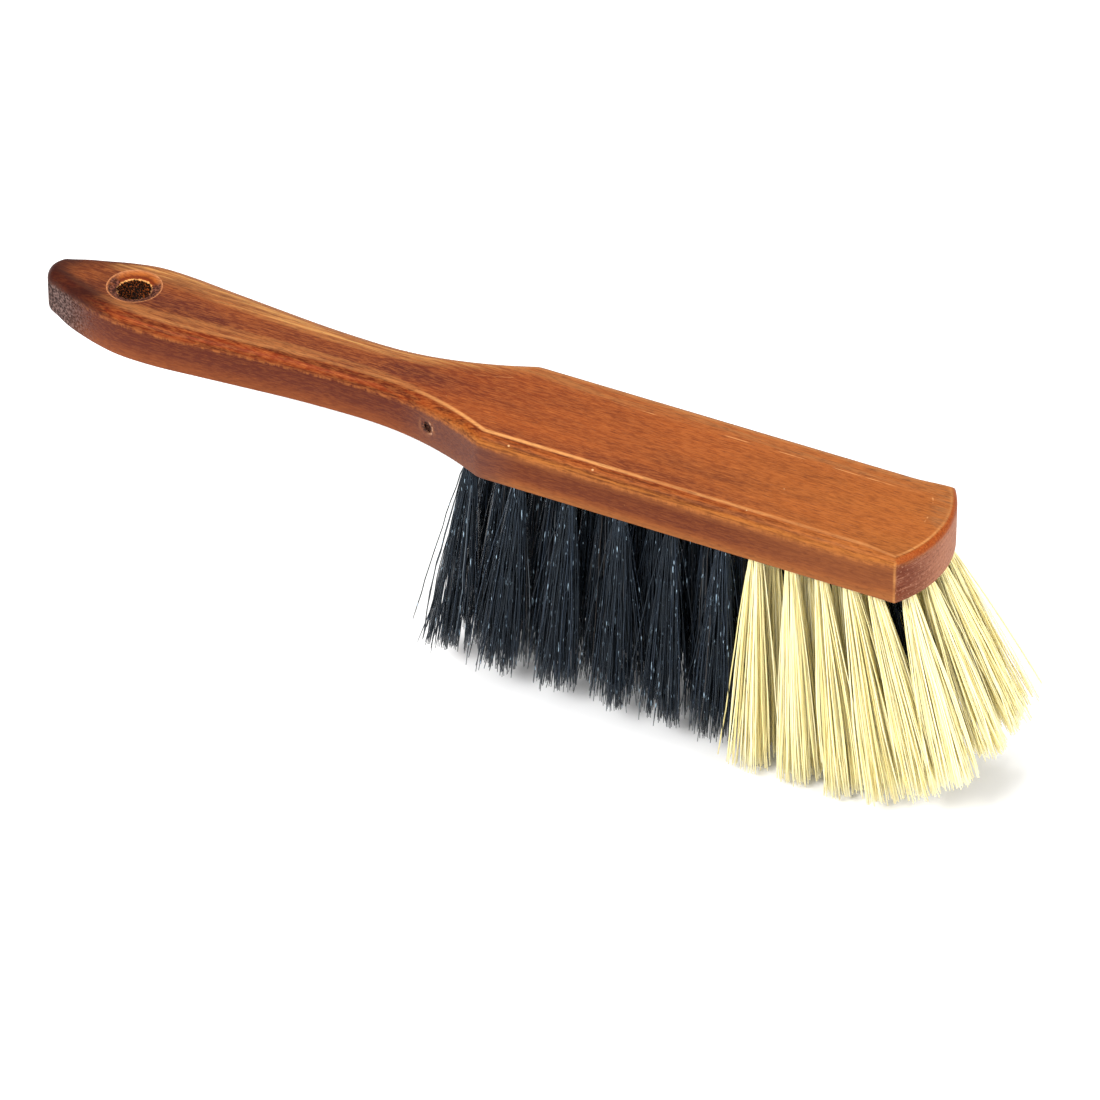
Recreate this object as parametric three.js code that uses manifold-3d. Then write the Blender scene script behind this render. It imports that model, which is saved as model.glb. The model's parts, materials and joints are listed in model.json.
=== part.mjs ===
// A bee brush: a flat beech board, shaped as a handle at one end and a tuft block at the other,
// with tufts of black and of cream bristle set in holes drilled in the block's underside.
// Millimetres, +Z up. +X runs from the handle to the nose, and the brush is the same on both
// sides of Y = 0. While it is built, x = 0 is the handle's tip and z = 0 the board's underside.
// The finished group then stands on its longest bristles, with its origin below its centre.
import * as THREE from "three";
import { mergeVertices } from "three/addons/utils/BufferGeometryUtils.js";
import Module from "manifold-3d";

const wasm = await Module();
wasm.setup();

// Board
const BOARD_LENGTH = 287.4;
const BOARD_THICKNESS = 15.2;
const EDGE_RADIUS = 3.5;
const EDGE_STEPS = 4;
const SHOULDER_X = 150.4;
const BLOCK_HALF_WIDTH = 19.9;
const NOSE_BULGE = 6.2;
const NOSE_STEPS = 12;
// Half the handle's width at a distance from its tip. The last pair lies beyond the shoulder and
// only steers the curve into it.
const HANDLE_HALF_WIDTHS = [
  [0, 0],
  [1.8, 4.6],
  [5, 6.2],
  [9, 8],
  [14, 9.7],
  [21, 12.1],
  [30, 14.1],
  [42, 14.4],
  [55, 13.3],
  [70, 11.9],
  [85, 10.6],
  [98, 10],
  [110, 9.9],
  [120, 10.7],
  [130, 12.6],
  [140, 15.6],
  [SHOULDER_X, BLOCK_HALF_WIDTH],
  [160, 24.5],
];
const POINTS_PER_HANDLE_SPAN = 3;

// Hanging hole through the handle, with both mouths dished
const HANGING_HOLE_X = 28.2;
const HANGING_HOLE_RADIUS = 5.1;
const DISH_WIDTH = 3.2;
const DISH_DEPTH = 1.3;
const DISH_STEPS = 4;
const DISH_SLOPE_AT_RIM = 0.6; // as a share of the dish's mean slope
const HANGING_HOLE_SIDES = 28;

// Tuft holes
const TUFT_HOLE_RADIUS = 2.25;
const TUFT_HOLE_DEPTH = 9;
const DRILL_POINT = 1;
const ROUND_SIDES = 10;
const CUT_OVERRUN = 2; // how far a cutter starts outside the wood

// Tufts
const TUFT_GAP = 0.3;
const TUFT_NECK = 2.4; // straight stretch below the hole's mouth
const CREAM_TIP_RADIUS = 4.8;
const BLACK_TIP_RADIUS = 4.5;
const BLACK_DROP = 66.5; // from the board's underside to the bristle tips
const CREAM_DROP = 73;
const NOSE_TRIM_START_X = 265; // tips beyond this are trimmed to a falling curve
const NOSE_TRIM_END_X = 311;
const NOSE_TRIM = 24;

// Rows of tufts
const OUTER_ROW_Y = 15.5;
const INNER_ROW_Y = 7.75;
const REAR_CORNER_Y = 14;
const FIRST_BLACK_X = 145.5;
const BLACK_PITCH = 16.1;
const BLACK_OUTER_COUNT = 6;
const BLACK_INNER_COUNT = 6;
const BLACK_INNER_END_X = 228.3; // keeps the last one clear of the cream tufts
const CREAM_OUTER_X = [236.2, 247.2, 256.3, 265, 272.5];
const CREAM_INNER_STAGGER = 1.5;
const CREAM_INNER_COUNT = 4;
const BLACK_NOSE_X = [236.5, 247.5, 258.5, 269.5];
const NOSE_ROW_INSET = 3.9;
const NOSE_ROW_Y = [-11.8, -4, 4, 11.8];

// How the tufts fan out: the rear ones lean back, the front ones forward, and all of them outwards
const REAR_FAN_END_X = 197;
const REAR_FAN_REACH = 7;
const FRONT_FAN_START_X = 226;
const FRONT_FAN_REACH = 28.9;
const FRONT_FAN_POWER = 1.6;
const SIDE_FAN = 0.22;
const NOSE_SIDE_FAN = 0.6;
const NOSE_EXTRA_REACH = -6.2;

const beech = { color: 0x9a4a1c, roughness: 0.35, metalness: 0 };
const blackBristle = { color: 0x10151c, roughness: 0.4, metalness: 0 };
const creamBristle = { color: 0xe6d79a, roughness: 0.55, metalness: 0 };

function toSolid(geometry) {
  const plain = geometry.clone();
  plain.deleteAttribute("normal");
  plain.deleteAttribute("uv");
  const merged = mergeVertices(plain, 1e-4);
  const vertProperties = new Float32Array(merged.attributes.position.array);
  const triVerts = new Uint32Array(merged.index.array);
  return new wasm.Manifold(new wasm.Mesh({ numProp: 3, vertProperties, triVerts }));
}

function toGeometry(solid) {
  const mesh = solid.getMesh();
  const geometry = new THREE.BufferGeometry();
  geometry.setAttribute("position", new THREE.BufferAttribute(mesh.vertProperties, 3));
  geometry.setIndex(new THREE.BufferAttribute(mesh.triVerts, 1));
  geometry.computeVertexNormals();
  return geometry;
}

// A solid of revolution about +Z from [radius, height] pairs, which start and end on the axis.
function turned(profile, sides) {
  const points = profile.map(([radius, height]) => new THREE.Vector2(radius, height));
  return new THREE.LatheGeometry(points, sides).rotateX(Math.PI / 2);
}

function handlePoints() {
  const oneSide = HANDLE_HALF_WIDTHS.map(([x, half]) => new THREE.Vector3(x, half, 0));
  const otherSide = HANDLE_HALF_WIDTHS.slice(1).map(([x, half]) => new THREE.Vector3(x, -half, 0));
  const knots = [...oneSide.reverse(), ...otherSide];
  const curve = new THREE.CatmullRomCurve3(knots, false, "centripetal");
  const points = curve.getPoints((knots.length - 1) * POINTS_PER_HANDLE_SPAN);
  return points.slice(POINTS_PER_HANDLE_SPAN, -POINTS_PER_HANDLE_SPAN);
}

// The nose in plan is a shallow arc from one front corner to the other.
function noseX(y) {
  const radius = (BLOCK_HALF_WIDTH ** 2 + NOSE_BULGE ** 2) / (2 * NOSE_BULGE);
  return BOARD_LENGTH - radius + Math.sqrt(radius ** 2 - y ** 2);
}

function nosePoints() {
  const arc = [];
  for (let step = 0; step <= NOSE_STEPS; step++) {
    const y = BLOCK_HALF_WIDTH * ((2 * step) / NOSE_STEPS - 1);
    arc.push(new THREE.Vector2(noseX(y), y));
  }
  return arc;
}

// The board with its upper edge rounded and its lower edge square. The outline is extruded with
// both edges rounded, starting below z = 0, and what lies below z = 0 is cut off.
function plainBoard() {
  const handle = handlePoints().map((point) => new THREE.Vector2(point.x, point.y));
  const outline = new THREE.Shape([...nosePoints(), ...handle]);
  const geometry = new THREE.ExtrudeGeometry(outline, {
    depth: BOARD_THICKNESS,
    bevelThickness: EDGE_RADIUS,
    bevelSize: EDGE_RADIUS,
    bevelOffset: -EDGE_RADIUS,
    bevelSegments: EDGE_STEPS,
  }).translate(0, 0, -EDGE_RADIUS);
  const above = new THREE.BoxGeometry(3 * BOARD_LENGTH, 3 * BLOCK_HALF_WIDTH, BOARD_THICKNESS);
  return toSolid(geometry).intersect(toSolid(above.translate(0, 0, BOARD_THICKNESS / 2)));
}

// The dish steepens from its rim to the bore.
function hangingHoleCutter() {
  const dish = [];
  for (let step = 0; step <= DISH_STEPS; step++) {
    const share = step / DISH_STEPS;
    const depth = DISH_DEPTH * share * (DISH_SLOPE_AT_RIM + (1 - DISH_SLOPE_AT_RIM) * share);
    dish.push([HANGING_HOLE_RADIUS + DISH_WIDTH * (1 - share), depth]);
  }
  const rim = HANGING_HOLE_RADIUS + DISH_WIDTH;
  const lower = [[0, -CUT_OVERRUN], [rim, -CUT_OVERRUN], ...dish];
  const upper = lower.map(([radius, height]) => [radius, BOARD_THICKNESS - height]).reverse();
  const cutter = turned([...lower, ...upper], HANGING_HOLE_SIDES);
  return toSolid(cutter.translate(HANGING_HOLE_X, 0, 0));
}

// Where a tuft is rooted, where it points and how long it is.
function tuftAt(name, colour, x, y, inNose = false) {
  let reach = 0;
  if (x < REAR_FAN_END_X) {
    reach = (-REAR_FAN_REACH * (REAR_FAN_END_X - x)) / (REAR_FAN_END_X - FIRST_BLACK_X);
  }
  if (x > FRONT_FAN_START_X) {
    const share = (x - FRONT_FAN_START_X) / (noseX(0) - NOSE_ROW_INSET - FRONT_FAN_START_X);
    reach = FRONT_FAN_REACH * share ** FRONT_FAN_POWER + (inNose ? NOSE_EXTRA_REACH : 0);
  }
  const trimShare = Math.max(0, x + reach - NOSE_TRIM_START_X) / (NOSE_TRIM_END_X - NOSE_TRIM_START_X);
  const fullDrop = colour === blackBristle ? BLACK_DROP : CREAM_DROP;
  const drop = fullDrop - NOSE_TRIM * trimShare ** 2;
  const towardsTip = new THREE.Vector3(reach, y * (inNose ? NOSE_SIDE_FAN : SIDE_FAN), -drop);
  return { name, colour, root: new THREE.Vector3(x, y, 0), length: towardsTip.length(), towardsTip };
}

function allTufts() {
  const tufts = [];
  for (const [side, sign] of [["right", -1], ["left", 1]]) {
    for (let i = 0; i < BLACK_OUTER_COUNT; i++) {
      const y = sign * (i === 0 ? REAR_CORNER_Y : OUTER_ROW_Y);
      const x = FIRST_BLACK_X + i * BLACK_PITCH;
      tufts.push(tuftAt(`black_tuft_${side}_outer_${i + 1}`, blackBristle, x, y));
    }
    for (let i = 0; i < BLACK_INNER_COUNT; i++) {
      const x = Math.min(FIRST_BLACK_X + (i + 0.5) * BLACK_PITCH, BLACK_INNER_END_X);
      tufts.push(tuftAt(`black_tuft_${side}_inner_${i + 1}`, blackBristle, x, sign * INNER_ROW_Y));
    }
    CREAM_OUTER_X.forEach((x, i) => {
      tufts.push(tuftAt(`cream_tuft_${side}_outer_${i + 1}`, creamBristle, x, sign * OUTER_ROW_Y));
    });
    for (let i = 0; i < CREAM_INNER_COUNT; i++) {
      const x = CREAM_OUTER_X[i] + CREAM_INNER_STAGGER;
      tufts.push(tuftAt(`cream_tuft_${side}_inner_${i + 1}`, creamBristle, x, sign * INNER_ROW_Y));
    }
  }
  for (let i = 0; i < BLACK_OUTER_COUNT; i++) {
    tufts.push(tuftAt(`black_tuft_middle_${i + 1}`, blackBristle, FIRST_BLACK_X + i * BLACK_PITCH, 0));
  }
  BLACK_NOSE_X.forEach((x, i) => {
    tufts.push(tuftAt(`black_tuft_middle_${BLACK_OUTER_COUNT + i + 1}`, blackBristle, x, 0));
  });
  NOSE_ROW_Y.forEach((y, i) => {
    tufts.push(tuftAt(`cream_tuft_nose_${i + 1}`, creamBristle, noseX(y) - NOSE_ROW_INSET, y, true));
  });
  return tufts;
}

// Turns a shape made along +Z, with z = 0 at the hole's mouth, to lie along its tuft.
function turnAlong(tuft) {
  const up = new THREE.Vector3(0, 0, 1);
  return new THREE.Quaternion().setFromUnitVectors(up, tuft.towardsTip.clone().normalize());
}

// A blind drilled hole, tilted as its tuft is.
function tuftHoleCutter(tuft) {
  const cutter = turned(
    [
      [0, -TUFT_HOLE_DEPTH - DRILL_POINT],
      [TUFT_HOLE_RADIUS, -TUFT_HOLE_DEPTH],
      [TUFT_HOLE_RADIUS, CUT_OVERRUN],
      [0, CUT_OVERRUN],
    ],
    ROUND_SIDES,
  );
  cutter.applyQuaternion(turnAlong(tuft));
  return toSolid(cutter.translate(tuft.root.x, tuft.root.y, tuft.root.z));
}

// A bundle of bristles: straight where it is held in its hole, then spreading to its trimmed tip.
function tuftMesh(tuft) {
  const rootRadius = TUFT_HOLE_RADIUS - TUFT_GAP;
  const tipRadius = tuft.colour === blackBristle ? BLACK_TIP_RADIUS : CREAM_TIP_RADIUS;
  const geometry = turned(
    [
      [0, -TUFT_HOLE_DEPTH + TUFT_GAP],
      [rootRadius, -TUFT_HOLE_DEPTH + TUFT_GAP],
      [rootRadius, TUFT_NECK],
      [tipRadius, tuft.length],
      [0, tuft.length],
    ],
    ROUND_SIDES,
  );
  const mesh = new THREE.Mesh(geometry, new THREE.MeshStandardMaterial(tuft.colour));
  mesh.name = tuft.name;
  mesh.position.copy(tuft.root);
  mesh.quaternion.copy(turnAlong(tuft));
  return mesh;
}

function boardMesh(tufts) {
  let board = plainBoard().subtract(hangingHoleCutter());
  for (const tuft of tufts) {
    board = board.subtract(tuftHoleCutter(tuft));
  }
  const mesh = new THREE.Mesh(toGeometry(board), new THREE.MeshStandardMaterial(beech));
  mesh.name = "handle_and_block";
  return mesh;
}

const tufts = allTufts();
const brush = new THREE.Group();
brush.add(boardMesh(tufts));
for (const tuft of tufts) {
  brush.add(tuftMesh(tuft));
}
const box = new THREE.Box3().setFromObject(brush, true);
brush.position.set(-(box.min.x + box.max.x) / 2, 0, -box.min.z);

export default brush;
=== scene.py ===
"""The looks of a bee brush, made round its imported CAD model: a stained and lacquered beech board, tufts of
separate bristles folded over wire anchors in drilled holes, a pale floor and soft light.

Metres, +Z up, +X from the handle to the nose. The board's outline, thickness and hanging hole and every
tuft's place, direction, length and radius are read from the CAD model. The edge's rounding, the
tuft holes' depth and their clearance are repeated here.
"""
import json
import math

import bmesh
import bpy
import numpy as np
from mathutils import Matrix, Vector
from mathutils.geometry import delaunay_2d_cdt
from numpy.linalg import norm


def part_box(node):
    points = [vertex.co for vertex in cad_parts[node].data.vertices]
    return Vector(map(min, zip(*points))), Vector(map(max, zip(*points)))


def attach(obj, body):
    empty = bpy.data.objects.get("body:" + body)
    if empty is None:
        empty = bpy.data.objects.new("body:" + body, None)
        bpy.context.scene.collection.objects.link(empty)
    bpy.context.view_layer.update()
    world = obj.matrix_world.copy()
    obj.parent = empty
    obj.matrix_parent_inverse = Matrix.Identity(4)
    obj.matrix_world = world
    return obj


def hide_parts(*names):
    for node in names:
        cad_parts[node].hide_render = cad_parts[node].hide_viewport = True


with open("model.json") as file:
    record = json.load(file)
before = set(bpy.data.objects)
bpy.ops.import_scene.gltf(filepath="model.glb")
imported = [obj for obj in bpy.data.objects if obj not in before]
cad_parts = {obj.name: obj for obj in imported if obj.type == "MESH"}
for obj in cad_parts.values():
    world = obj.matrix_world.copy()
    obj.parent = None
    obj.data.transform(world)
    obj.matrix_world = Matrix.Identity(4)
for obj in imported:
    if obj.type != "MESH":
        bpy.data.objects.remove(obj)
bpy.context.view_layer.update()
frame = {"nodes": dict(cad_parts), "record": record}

MILLIMETRE = 0.001
TINY = MILLIMETRE / 100
BODY = "root"
BOARD_NODE = "handle_and_block"

# Camera and floor
AIM = Vector((0.01406, -0.01119, 0.04872))
VIEW_AZIMUTH = math.radians(27.04)
VIEW_ELEVATION = math.radians(36.80)
VIEW_DISTANCE = 2.408
LENS = 275.83
SENSOR = 36.0
FLOOR_SIZE = 24.0

# Board
EDGE_RADIUS = 0.0035
NOSE_RADIUS = 0.0020  # the upper edge is rounded less round the nose
NOSE_BLEND = 0.012  # over this distance before the nose's corners
EDGE_SEGMENTS = 8
SIDE_SEGMENTS = 6
LOWER_RADIUS = 0.0007  # the lower edge is only broken
TIP_LOWER_RADIUS = 0.0032  # but rounded at the handle's tip
TIP_LOWER_END = 0.015
LOWER_EDGE_SEGMENTS = 4
SUPPORT = 0.0003  # width of the flat border that keeps a face flat up to its edge
CROWN_START = (0.024, 0.050)  # from the handle's tip: here its top starts to fall to its edges
CROWN_END = (0.100, 0.145)  # and here it is flat again
CROWN_WIDTH = 0.006
CROWN_ANGLE = math.radians(18)  # how far the rounding has already turned where the crown meets it
SHARP_ANGLE = math.radians(38)  # faces that meet at more than this keep a crisp edge
OUTLINE_STEP = 0.0012
SHOULDER_FILLET = 0.006
NOSE_FILLET = 0.0006
FILLET_SEGMENTS = 4
TOP_GRID = 0.0016
UNDERSIDE_GRID = 0.006

# Hanging hole
HOLE_SIDES = 72
DISH_SEGMENTS = 7
RIM_SLOPE = 0.6  # slope of the dish at its rim, as a share of its mean slope
CREASE_ROUGHNESS = 0.00022
BORE_SEGMENTS = 8
BORE_ROUGHNESS = 0.00016

# Tuft holes
TUFT_HOLE_DEPTH = 0.009
TUFT_GAP = 0.0003
DRILL_POINT = 0.001
TUFT_HOLE_SIDES = 24
MOUTH_BREAK = 0.00015

# Knot in the handle's right side
KNOT_FROM_TIP = 0.1305
KNOT_HEIGHT = 0.0066
KNOT_PITS = [  # place along the side and up it, radius
    (0.0, 0.0, 0.0011),
    (0.0010, -0.0007, 0.0009),
    (-0.0004, 0.0011, 0.0007),
    (0.0012, 0.0007, 0.0005),
]

# Growth layers and relief
PITH_Y = 0.014
PITH_Z = -0.030
LAYER_SPACING = 0.0019
NECK_FROM_TIP = 0.142
BUMP_HEIGHT = 0.0001

# Stain, and in places painted light, by place on the board's profile in millimetres: above 0 is the distance
# in from the rounding on the top face, below 0 the way round the edge and down the side
PROFILE_LOW = -18.0
PROFILE_HIGH = 2.0
# The paler tan at each side's foot, below about -12, is partly painted light thrown up by the floor.
HANDLE_SIDE = [
    (-16.5, (124, 64, 36)),
    (-13.5, (106, 50, 30)),
    (-11.5, (88, 37, 27)),
    (-6.2, (80, 29, 21)),
    (-5.2, (112, 45, 17)),
    (-3.0, (122, 41, 9)),
    (-1.0, (94, 29, 8)),
]
BLOCK_SIDE = [
    (-16.5, (142, 86, 47)),
    (-14.2, (122, 64, 34)),
    (-12.6, (96, 44, 27)),
    (-8.2, (92, 41, 23)),
    (-6.4, (120, 66, 36)),
    (-4.4, (162, 98, 46)),
    (-3.2, (142, 72, 24)),
    (-1.4, (112, 42, 8)),
]
TOP_TONES = [  # share of the board's length from the handle's tip; the top is darker towards the tip and lighter towards the nose
    (0.0, (0.075, 0.014, 0.006)),
    (0.16, (0.098, 0.017, 0.0070)),
    (0.32, (0.112, 0.018, 0.0070)),
    (0.48, (0.196, 0.033, 0.0062)),
    (0.75, (0.252, 0.059, 0.0112)),
    (1.0, (0.296, 0.088, 0.0160)),
]
LACQUER = (0.84, 0.82, 0.70)  # what the amber lacquer lets through
SANDED_SHEEN_WIDTHS = [  # distance from the handle's tip in metres, width in centimetres
    (0.016, 0.0),
    (0.034, 0.30),
    (0.055, 0.36),
    (0.095, 0.24),
    (0.118, 0.13),
    (0.140, 0.02),
]
ARRIS_STRENGTH = [  # share of the board's length from the handle's tip, strength
    (0.06, 0.05),
    (0.14, 0.25),
    (0.42, 0.40),
    (0.50, 0.95),
    (0.74, 0.90),
    (0.86, 0.50),
    (1.0, 0.70),
]
DISH_TONES = [  # share of the dish's depth
    (0.0, (204, 142, 106)),
    (0.08, (176, 108, 66)),
    (0.34, (164, 88, 38)),
    (0.66, (108, 40, 14)),
    (0.86, (134, 58, 22)),
    (0.94, (244, 176, 112)),
]

# Wire anchors
ANCHOR_DEPTH = 0.0068
ANCHOR_WIDTH = 0.0013
ANCHOR_THICKNESS = 0.00035
ANCHOR_SIDES = 12
ANCHOR_SHAPE = [  # place along the wire, how much nearer the mouth it lies than its middle
    (-0.0027, 0.0010),
    (-0.0021, 0.0003),
    (-0.0008, 0.0),
    (0.0008, 0.0),
    (0.0021, 0.0003),
    (0.0027, 0.0010),
]

# Bristles
FLOOR_CLEARANCE = 0.0003
FOLD_POINTS = 5
BRISTLE_SIDES = 4
FAN_POWER = 0.85  # below 1, bristles part soon after they leave the wood
MOST_SPREAD = 1.7  # the furthest that a bristle's tip strays, in its tuft's own spread
FOLD_GAP = 0.0003  # half the space that the anchor takes between a tuft's two halves
FAN_RANGE = (0.80, 1.05)  # how far each tip fans out, as a share of its tuft's spread
CLUMP_SPREAD = 0.5
STRAY_SPREAD = 0.7
TWIST = 0.35  # a bristle's second bend, as a share of its bow
TWIST_WAVE = 2.4  # half waves of that bend along a bristle
DOME = 0.02  # the share by which a bristle is shorter at the tuft's spread than in its middle
SHORTEST = (0.002, 0.012)  # how much a short bristle lacks
CREAM_TONES = [
    (0.0, (0.78, 0.64, 0.25)),
    (0.12, (0.92, 0.81, 0.39)),
    (0.55, (0.96, 0.87, 0.48)),
    (1.0, (0.98, 0.92, 0.62)),
]
# The palest bristles, at the top of these tones, are painted blue-grey as painted glints.
BLACK_TONES = [
    (0.0, (0.0022, 0.0030, 0.0052)),
    (0.60, (0.0038, 0.0056, 0.0096)),
    (0.90, (0.0090, 0.0140, 0.0240)),
    (0.97, (0.0360, 0.0290, 0.0240)),
    (1.0, (0.1200, 0.1400, 0.1600)),
]
CREAM = {
    "slot": "cream_bristle",
    "folded": 60,
    "radius": 0.00021,
    "segments": 9,
    "tip_spread": 0.0071,
    "scatter": 0.22,
    "clumps": 6,
    "clumping": 0.25,
    "bow": 0.0008,
    "crimp": 0.00003,
    "uneven": 0.0012,
    "short_share": 0.04,
    "stray_share": 0.02,
    "taper": 0.9,
}
BLACK = {
    "slot": "black_bristle",
    "folded": 84,
    "radius": 0.00017,
    "segments": 12,
    "tip_spread": 0.0068,
    "scatter": 0.26,
    "clumps": 7,
    "clumping": 0.42,
    "bow": 0.0009,
    "crimp": 0.00009,
    "uneven": 0.0017,
    "short_share": 0.07,
    "stray_share": 0.05,
    "taper": 0.6,
}


# ---------------- reading the CAD model

def mesh_points(mesh):
    points = np.empty(len(mesh.vertices) * 3, np.float32)
    mesh.vertices.foreach_get("co", points)
    return points.reshape(-1, 3).astype(float)


def cad_points(node):
    return mesh_points(frame["nodes"][node].data)


BOARD_LOW, BOARD_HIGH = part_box(BOARD_NODE)
UNDERSIDE = BOARD_LOW.z
TOP = BOARD_HIGH.z
TIP_X = BOARD_LOW.x
BOARD_LENGTH = BOARD_HIGH.x - TIP_X


def hanging_hole():
    """Its centre in plan, the radii of its bore and of its rim, and the depth of the dish between them."""
    opening = next(o for o in frame["record"]["physics"]["openings"] if o["name"] == "hanging_hole")
    low, high = opening["box_m"]
    centre = np.array([(low[0] + high[0]) / 2, 0.0])
    points = cad_points(BOARD_NODE)
    away = norm(points[:, :2] - centre, axis=1)
    at_top = points[:, 2] > TOP - TINY
    bore = away.min()
    in_bore = away < bore + TINY
    return centre, bore, away[at_top].min(), TOP - points[in_bore, 2].max()


def tuft_axis(node):
    """Where a tuft's middle leaves the wood, its direction, its length from there and its root's radius."""
    points = cad_points(node)
    centre = points.mean(axis=0)
    direction = np.linalg.svd(points - centre)[2][0]
    if direction[2] > 0:
        direction = -direction
    along = (points - centre) @ direction
    root = points[along < along.min() + MILLIMETRE / 10].mean(axis=0)
    tip = points[along > along.max() - MILLIMETRE / 10].mean(axis=0)
    direction = (tip - root) / norm(tip - root)
    mouth = root + direction * (UNDERSIDE - root[2]) / direction[2]
    spread = points - root - np.outer((points - root) @ direction, direction)
    in_hole = along < along.min() + MILLIMETRE / 10
    radius = norm(spread[in_hole], axis=1).max()
    return mouth, direction, norm(tip - mouth), radius


# ---------------- building meshes

class Shell:
    """The points and faces of a piece while it is made."""

    def __init__(self):
        self.points = []
        self.faces = []

    def ring(self, points):
        start = len(self.points)
        self.points.extend(tuple(p) for p in points)
        return list(range(start, start + len(points)))

    def bridge(self, one, other):
        count = len(one)
        for i in range(count):
            j = (i + 1) % count
            self.faces.append((one[i], one[j], other[j], other[i]))

    def skin(self, rings):
        for one, other in zip(rings, rings[1:]):
            self.bridge(one, other)

    def close(self, ring, point):
        tip = self.ring([point])[0]
        for i in range(len(ring)):
            self.faces.append((ring[i], ring[(i + 1) % len(ring)], tip))


def new_piece(name, points, faces, material, smooth_angle=None):
    mesh = bpy.data.meshes.new(name)
    mesh.from_pydata(points, [], faces)
    mesh.materials.append(material)
    mesh.shade_smooth()
    mesh.update()
    if smooth_angle is not None:
        facing_out(mesh)
        mesh.set_sharp_from_angle(angle=smooth_angle)
    return add_object(name, mesh)


def add_object(name, data):
    added = bpy.data.objects.new(name, data)
    bpy.context.scene.collection.objects.link(added)
    return added


def add_attribute(piece, name, values):
    attribute = piece.data.attributes.new(name, "FLOAT", "POINT")
    attribute.data.foreach_set("value", values.astype(np.float32).ravel())


def facing_out(mesh):
    work = bmesh.new()
    work.from_mesh(mesh)
    bmesh.ops.recalc_face_normals(work, faces=work.faces)
    work.to_mesh(mesh)
    work.free()


def inside(points, loop):
    """Which plan points lie inside a closed loop of plan points."""
    result = np.zeros(len(points), bool)
    ends = np.roll(loop, -1, axis=0)
    for (x1, y1), (x2, y2) in zip(loop, ends):
        crosses = (y1 > points[:, 1]) != (y2 > points[:, 1])
        with np.errstate(divide="ignore", invalid="ignore"):
            at = x1 + (points[:, 1] - y1) * (x2 - x1) / (y2 - y1)
        result ^= crosses & (points[:, 0] < at)
    return result


def fill_flat(shell, outer, holes, z, spacing):
    """Fills the flat face between the outer ring and the holes' rings with well-shaped triangles."""
    plan = np.array(shell.points)[:, :2]
    loops = [outer, *holes]
    low = plan[outer].min(axis=0)
    high = plan[outer].max(axis=0)
    grid_x, grid_y = np.meshgrid(
        np.arange(low[0] + spacing / 2, high[0], spacing),
        np.arange(low[1] + spacing / 2, high[1], spacing),
    )
    grid = np.column_stack([grid_x.ravel(), grid_y.ravel()])
    keep = inside(grid, plan[outer])
    for ring in loops:
        for point in plan[ring]:
            keep &= norm(grid - point, axis=1) > spacing / 3
    for ring in holes:
        keep &= ~inside(grid, plan[ring])
    extra = shell.ring([(x, y, z) for x, y in grid[keep]])
    order = [i for ring in loops for i in ring] + extra
    edges = []
    start = 0
    for ring in loops:
        count = len(ring)
        edges += [(start + i, start + (i + 1) % count) for i in range(count)]
        start += count
    all_plan = np.array([shell.points[i][:2] for i in order])
    result = delaunay_2d_cdt([Vector(p) for p in all_plan], edges, [], 1, MILLIMETRE / 1e4)
    corners = [[order[result[3][i][0]] for i in face] for face in result[2]]
    middles = np.array([[np.mean([shell.points[i][k] for i in face]) for k in (0, 1)] for face in corners])
    in_hole = np.zeros(len(corners), bool)
    for ring in holes:
        in_hole |= inside(middles, plan[ring])
    shell.faces.extend(tuple(face) for face, skip in zip(corners, in_hole) if not skip)


# ---------------- board

def lengths_along(points):
    return np.concatenate([[0], np.cumsum(norm(np.diff(points, axis=0), axis=1))])


def curve_through(knots, spacing):
    """A smooth curve through plan points, as dense points."""
    along = lengths_along(knots)
    slopes = np.gradient(knots, along, axis=0)
    dense = []
    for i in range(len(knots) - 1):
        length = along[i + 1] - along[i]
        t = np.linspace(0, 1, max(2, math.ceil(length / spacing)), endpoint=False)[:, None]
        dense.append(
            (2 * t**3 - 3 * t**2 + 1) * knots[i]
            + (t**3 - 2 * t**2 + t) * length * slopes[i]
            + (3 * t**2 - 2 * t**3) * knots[i + 1]
            + (t**3 - t**2) * length * slopes[i + 1]
        )
    return np.vstack([*dense, knots[-1:]])


def board_sections():
    """The outline in plan, anticlockwise from the left shoulder: handle, right side, nose and left side."""
    points = cad_points(BOARD_NODE)
    ring = points[np.abs(points[:, 2] - (TOP - EDGE_RADIUS)) < TINY][:, :2]
    half_width = ring[:, 1].max()
    on_side = ring[ring[:, 1] > half_width - TINY]
    shoulder_x = on_side[:, 0].min()
    corner_x = on_side[:, 0].max()
    left = ring[(ring[:, 0] < shoulder_x + TINY) & (ring[:, 1] > TINY)]
    left = left[np.argsort(left[:, 0])]
    distinct = np.concatenate([[True], np.diff(left[:, 0]) > MILLIMETRE / 10])
    left = left[distinct]
    knots = np.vstack([left[::-1], [[TIP_X, 0]], left * [1, -1]])
    bulge = BOARD_HIGH.x - corner_x
    nose_radius = (half_width**2 + bulge**2) / (2 * bulge)
    sweep = math.asin(half_width / nose_radius)
    angles = np.linspace(-sweep, sweep, 200)
    nose = np.column_stack([
        BOARD_HIGH.x - nose_radius + nose_radius * np.cos(angles),
        nose_radius * np.sin(angles),
    ])
    right_side = np.array([[shoulder_x, -half_width], [corner_x, -half_width]])
    left_side = right_side[::-1] * [1, -1]
    return [curve_through(knots, MILLIMETRE / 5), right_side, nose, left_side]


def directions(polyline):
    steps = np.gradient(polyline, axis=0)
    return steps / norm(steps, axis=1)[:, None]


def turned_left(vectors):
    return np.column_stack([-vectors[:, 1], vectors[:, 0]])


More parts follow.
